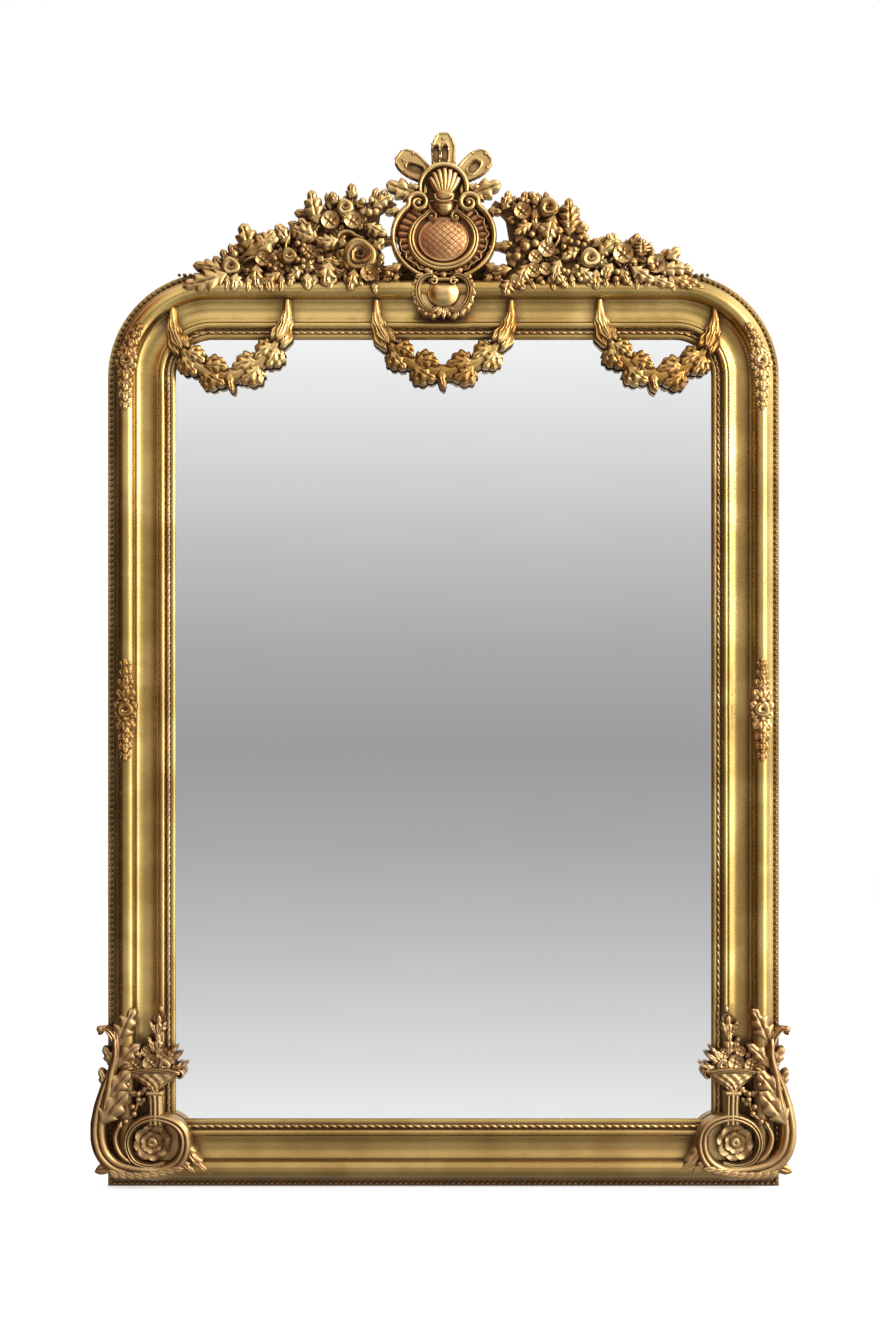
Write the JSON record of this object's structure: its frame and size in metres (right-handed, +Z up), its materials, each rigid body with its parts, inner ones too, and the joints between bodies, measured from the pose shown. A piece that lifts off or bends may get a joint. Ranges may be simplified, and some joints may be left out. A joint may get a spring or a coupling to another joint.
{
  "type": "trumeau mirror",
  "caption": "Tall gilded pier mirror: arched moulded frame, flower and cartouche crest, leaf garlands, flower drops and scrolled lower corners, with hanging rings behind.",
  "frame": {"origin": "where the wall plane, the upright centre line and the underside of the bottom rail meet", "axes": "+Z up along the mirror's height, +Y out of the back towards the wall, +X to the right seen from the front, so the glass faces -Y"},
  "size_m": [1.2, 0.074, 1.801],
  "materials": {
    "gilded_moulding": "aged water gilding over red bole on wood",
    "gilded_beading": "dark rubbed gilding on beading",
    "gilded_sight_edge": "aged gilding on a carved sight edge",
    "gilded_crest": "aged gilding, bright on the heights and dark in the hollows",
    "reddish_cartouche_ground": "red bole showing through worn gilding",
    "gilded_swags_and_drops": "aged gilding, bright on the heights and dark in the hollows",
    "gilded_corner_ornament": "aged gilding, bright on the heights and dark in the hollows",
    "crest_backboard": "dark stained softwood",
    "hardwood_spline": "bare hardwood",
    "softwood_block": "bare softwood",
    "back_panel_board": "thin plywood",
    "silvered_glass": "silvered plate glass",
    "felt": "grey felt",
    "setting_rubber": "hard rubber",
    "hanger_steel": "plated steel",
    "plate_steel": "plain steel",
    "screw_steel": "plated steel"
  },
  "bodies": {
    "mirror": {"left_stile": "gilded_moulding", "right_stile": "gilded_moulding", "upper_corner_blocks": "gilded_moulding", "top_rail": "gilded_moulding", "bottom_rail": "gilded_moulding", "bead_strip_left": "gilded_beading", "bead_strip_right": "gilded_beading", "bead_strip_top": "gilded_beading", "bead_strip_bottom": "gilded_beading", "sight_slip_left": "gilded_sight_edge", "sight_slip_right": "gilded_sight_edge", "sight_slip_top": "gilded_sight_edge", "sight_slip_bottom": "gilded_sight_edge", "cartouche_inner_ring": "gilded_crest", "cartouche_left_scroll": "gilded_crest", "cartouche_right_scroll": "gilded_crest", "shell_palmette": "gilded_crest", "crest_arch": "gilded_crest", "crest_petal_centre": "gilded_crest", "crest_petal_left": "gilded_crest", "crest_petal_right": "gilded_crest", "lower_cartouche": "gilded_crest", "lower_shield": "gilded_crest", "left_flower_spray": "gilded_crest", "right_flower_spray": "gilded_crest", "cartouche_plate": "reddish_cartouche_ground", "cartouche_boss": "reddish_cartouche_ground", "left_garland": "gilded_swags_and_drops", "centre_garland": "gilded_swags_and_drops", "right_garland": "gilded_swags_and_drops", "upper_left_drop": "gilded_swags_and_drops", "upper_right_drop": "gilded_swags_and_drops", "left_stile_drop": "gilded_swags_and_drops", "right_stile_drop": "gilded_swags_and_drops", "left_corner_scroll": "gilded_corner_ornament", "right_corner_scroll": "gilded_corner_ornament", "left_corner_rosette": "gilded_corner_ornament", "right_corner_rosette": "gilded_corner_ornament", "left_corner_acanthus": "gilded_corner_ornament", "right_corner_acanthus": "gilded_corner_ornament", "left_corner_basket": "gilded_corner_ornament", "right_corner_basket": "gilded_corner_ornament", "crest_board": "crest_backboard", "joint_splines": "hardwood_spline", "glass_retaining_blocks": "softwood_block", "back_panel": "back_panel_board", "mirror_glass": "silvered_glass", "backing_felt": "felt", "glass_setting_blocks": "setting_rubber", "left_hanger_strap": "hanger_steel", "right_hanger_strap": "hanger_steel", "crest_fixing_plates": "plate_steel", "crest_plate_screws": "plate_steel", "back_panel_screws": "screw_steel", "hanger_screws": "screw_steel", "garland_brads": "screw_steel"},
    "left_ring": {"left_hanger_ring": "hanger_steel"},
    "right_ring": {"right_hanger_ring": "hanger_steel"}
  },
  "joints": [
    {"name": "left_ring_swing", "type": "hinge", "parent": "mirror", "child": "left_ring", "pos_m": [-0.522, -0.01025, 1.23], "axis": [1, 0, 0], "range_deg": [0, 180]},
    {"name": "right_ring_swing", "type": "hinge", "parent": "mirror", "child": "right_ring", "pos_m": [0.522, -0.01025, 1.23], "axis": [1, 0, 0], "range_deg": [0, 180]}
  ]
}
